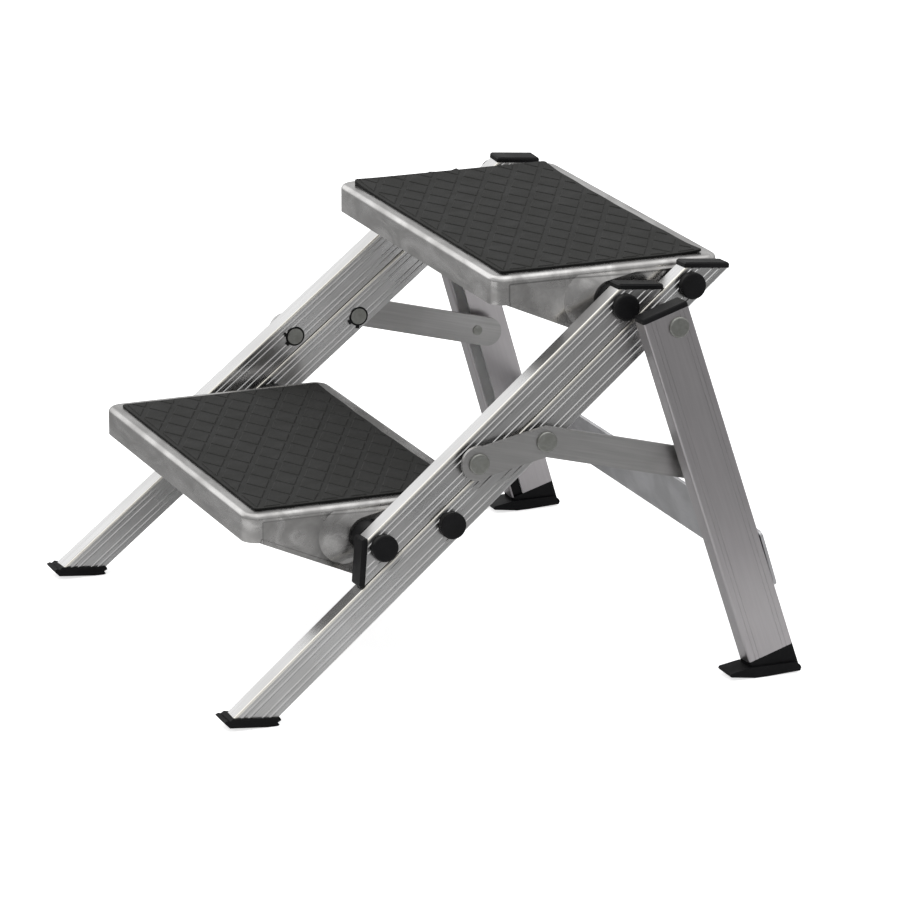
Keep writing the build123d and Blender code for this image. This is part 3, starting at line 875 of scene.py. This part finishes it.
def swellLeftEdge(mesh, low, pattern, swell):
    outward = Vector((-1, 0, 0))
    reach = pattern["leftReach"]
    fold = Vector((low.x + reach, 0, 0))
    hair = 1e-5  # the underside stays where it is
    bendBeyond(mesh, fold, outward, reach, pattern["curlSteps"], swell, low.z + hair)


def curlCorners(mesh, low, high, pattern, curl):
    places = {
        "frontLeft": (Vector((low.x, low.y, 0)), Vector((-1, -1, 0))),
        "rearLeft": (Vector((low.x, high.y, 0)), Vector((-1, 1, 0))),
        "rearRight": (Vector((high.x, high.y, 0)), Vector((1, 1, 0))),
        "frontRight": (Vector((high.x, low.y, 0)), Vector((1, -1, 0))),
    }
    length = pattern["curlLength"]
    for name, lift in curl.items():
        corner, outward = places[name]
        outward = outward.normalized()
        bendBeyond(mesh, corner - outward * length, outward, length, pattern["curlSteps"], lift)


def buildMat(name, node, body, pattern, fit):
    low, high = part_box(node)
    low.x += fit["leftTrim"]
    padTop = high.z
    baseTop = padTop - pattern["padRise"]
    shoulder = pattern["shoulder"]
    mesh = bmesh.new()
    outline = matOutline(low, high, pattern)
    lower = [mesh.verts.new((p.x, p.y, low.z)) for p in outline]
    brow = [mesh.verts.new((p.x, p.y, baseTop - shoulder)) for p in outline]
    upper = [mesh.verts.new((p.x, p.y, baseTop)) for p in insetPolygon(outline, shoulder)]
    wall(mesh, lower, brow, slot=1)  # the cut edge is painted darker than the top, a painted shade
    wall(mesh, brow, upper)
    mesh.faces.new(upper)
    mesh.faces.new(list(reversed(lower)))
    bevel = pattern["padBevel"]
    breakWidth, breakRise = pattern["padBreak"]
    levels = (
        (0.0, baseTop - pattern["padSunk"]),
        (bevel * breakWidth, padTop - pattern["padRise"] * breakRise),
        (bevel, padTop),
    )
    for cell in matPads(low, high, pattern):
        rings = []
        for inset, z in levels:
            rings.append([mesh.verts.new((p.x, p.y, z)) for p in insetPolygon(cell, inset)])
        for ring, nextRing in zip(rings, rings[1:]):
            wall(mesh, ring, nextRing)
        mesh.faces.new(rings[-1])
        mesh.faces.new(list(reversed(rings[0])))
    swellLeftEdge(mesh, low, pattern, fit["leftSwell"])
    curlCorners(mesh, low, high, pattern, fit["curl"])
    data = bpy.data.meshes.new(name)
    mesh.to_mesh(data)
    mesh.free()
    piece = bpy.data.objects.new(name, data)
    bpy.context.scene.collection.objects.link(piece)
    for look in (treadMat, shadedMatEdge):
        data.materials.append(finishes[look["name"]])
    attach(piece, body)
    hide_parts(node)


buildMat("upperTreadMat", "upper_mat", "upper_step", matPattern, upperFit)
buildMat("lowerTreadMat", "lower_mat", "lower_step", matPattern, lowerFit)
print("mats laid")


studio = {
    "floorSize": 60.0,
    "floorColour": (0.93, 0.93, 0.93, 1),
    "floorGlow": 0.75,
    "floorDrop": 0.0005,
    "cardColour": (0.73, 0.73, 0.73, 1),
    "cardReach": ((-0.25, -1.6), (0.76, 1.8)),
    "cardDrop": 0.0002,
    "paintRoughness": 0.9,
    "air": (1.0, 1.0, 1.0, 1),
    "underfoot": 0.28,  # what polished metal sees below the horizon, beyond the card
    "underfootBehind": 0.36,
    "turnBehind": (0.3, -0.5),  # from the near side to the far one
    "dome": 0.60,
    "horizon": (-0.06, 0.25),
}
softboxes = (
    {"toward": (-0.80, -0.35, 0.50), "strength": 0.65, "edge": 0.80, "core": 0.94},
    {"toward": (0.0, 0.0, 1.0), "strength": 0.75, "edge": 0.58, "core": 0.94},
)


def addSheet(name, low, high, drop, colour, glow):
    data = bpy.data.meshes.new(name)
    (left, front), (right, rear) = low, high
    corners = [(left, front, 0), (right, front, 0), (right, rear, 0), (left, rear, 0)]
    data.from_pydata(corners, [], [(0, 1, 2, 3)])
    sheet = bpy.data.objects.new(name, data)
    bpy.context.scene.collection.objects.link(sheet)
    paint = bpy.data.materials.new(name + "Paint")
    paint.use_nodes = True
    shader = paint.node_tree.nodes["Principled BSDF"]
    shader.inputs["Base Color"].default_value = colour
    shader.inputs["Roughness"].default_value = studio["paintRoughness"]
    shader.inputs["Specular IOR Level"].default_value = 0.0
    shader.inputs["Emission Color"].default_value = colour
    shader.inputs["Emission Strength"].default_value = glow
    data.materials.append(paint)
    sheet.location.z = -drop
    return sheet


def buildFloor():
    half = studio["floorSize"] / 2
    floor = addSheet(
        "studioFloor",
        (-half, -half),
        (half, half),
        studio["floorDrop"],
        studio["floorColour"],
        studio["floorGlow"],
    )
    floor.visible_glossy = False
    # the metal mirrors a grey card round the stool and the dim room beyond it, not the white floor
    low, high = studio["cardReach"]
    card = addSheet("groundCard", low, high, studio["cardDrop"], studio["cardColour"], 0.0)
    card.visible_camera = False
    card.visible_diffuse = False
    card.visible_shadow = False


def lightStudio():
    world = bpy.data.worlds.new("studioAir")
    bpy.context.scene.world = world
    world.use_nodes = True
    tree = world.node_tree
    air = tree.nodes["Background"]
    air.inputs["Color"].default_value = studio["air"]
    toward = addNode(tree, "ShaderNodeTexCoord").outputs["Generated"]
    parts = addNode(tree, "ShaderNodeSeparateXYZ")
    feed(tree, parts.inputs["Vector"], toward)
    below = mapRange(
        tree,
        parts.outputs["X"],
        *studio["turnBehind"],
        studio["underfoot"],
        studio["underfootBehind"],
        True,
    )
    level = mapRange(tree, parts.outputs["Z"], *studio["horizon"], below, studio["dome"], True)
    for box in softboxes:
        aim = addNode(tree, "ShaderNodeVectorMath", operation="DOT_PRODUCT")
        feed(tree, aim.inputs[0], toward)
        feed(tree, aim.inputs[1], Vector(box["toward"]).normalized())
        glow = mapRange(tree, aim.outputs["Value"], box["edge"], box["core"], 0.0, box["strength"], True)
        level = combine(tree, "ADD", level, glow)
    feed(tree, air.inputs["Strength"], level)


camera = {
    "azimuth": 67.70,
    "elevation": 16.62,
    "distance": 5.27514,
    "lens": 226.66,
    "sensor": 36.0,
    "reach": 200.0,
    "target": (0.16383, -0.02102, 0.21408),
}


def addCamera():
    azimuth = math.radians(camera["azimuth"])
    elevation = math.radians(camera["elevation"])
    away = Vector(
        (
            math.sin(azimuth) * math.cos(elevation),
            -math.cos(azimuth) * math.cos(elevation),
            math.sin(elevation),
        )
    )
    data = bpy.data.cameras.new("photoCamera")
    data.lens = camera["lens"]
    data.sensor_width = camera["sensor"]
    data.clip_end = camera["reach"]
    viewer = bpy.data.objects.new("photoCamera", data)
    viewer.location = Vector(camera["target"]) + away * camera["distance"]
    viewer.rotation_euler = (-away).to_track_quat("-Z", "Y").to_euler()
    bpy.context.scene.collection.objects.link(viewer)
    bpy.context.scene.camera = viewer


buildFloor()
lightStudio()
addCamera()
bpy.context.scene.view_settings.view_transform = "Standard"
print("studio set")

bpy.context.view_layer.update()
